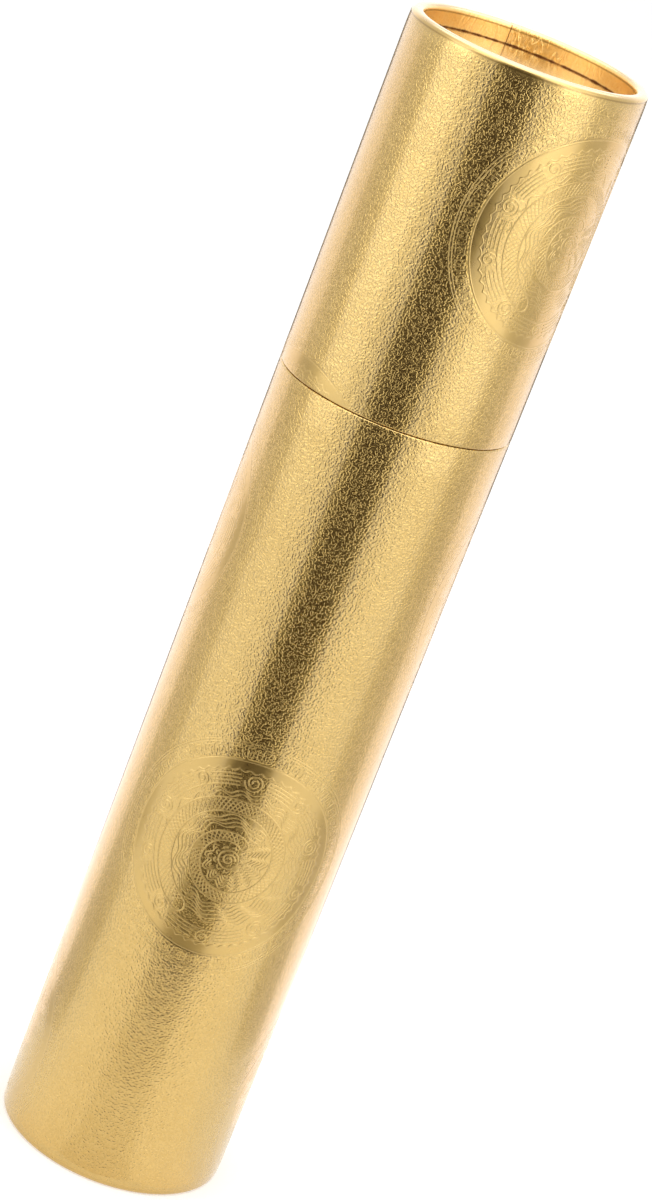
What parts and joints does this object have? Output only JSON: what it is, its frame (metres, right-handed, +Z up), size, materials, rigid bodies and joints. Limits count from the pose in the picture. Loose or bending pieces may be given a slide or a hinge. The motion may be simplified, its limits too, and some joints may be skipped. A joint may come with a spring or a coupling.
{
  "type": "poster tube",
  "caption": "Round rigid poster tube of wound board wrapped in grained gold foil paper, with a lift-off lid on an inner neck, recessed ends and embossed roundels.",
  "frame": {"origin": "centre of the rim that the tube stands on, on the floor plane", "axes": "+Z up along the tube's axis, towards the lid; -Y is the front, where the base's front roundel faces"},
  "size_m": [0.0702, 0.0702, 0.356],
  "materials": {
    "grained_gold_paper": "metallic gold foil with a fine leather grain, half gloss",
    "plain_gold_paper": "metallic orange-gold foil, satin, without grain",
    "wound_board": "matt brown wound paperboard",
    "grey_board": "matt grey paperboard"
  },
  "bodies": {
    "base": {"base_tube": "wound_board", "base_wrap": "grained_gold_paper", "base_end_board": "grey_board", "base_end_foil": "plain_gold_paper", "neck_tube": "wound_board"},
    "lid": {"lid_tube": "wound_board", "lid_wrap": "grained_gold_paper", "lid_end_board": "grey_board", "lid_end_foil": "plain_gold_paper"}
  },
  "joints": [
    {"name": "lid_lift", "type": "slide", "parent": "base", "child": "lid", "axis": [0, 0, 1], "range_m": [0, 0.135]}
  ]
}
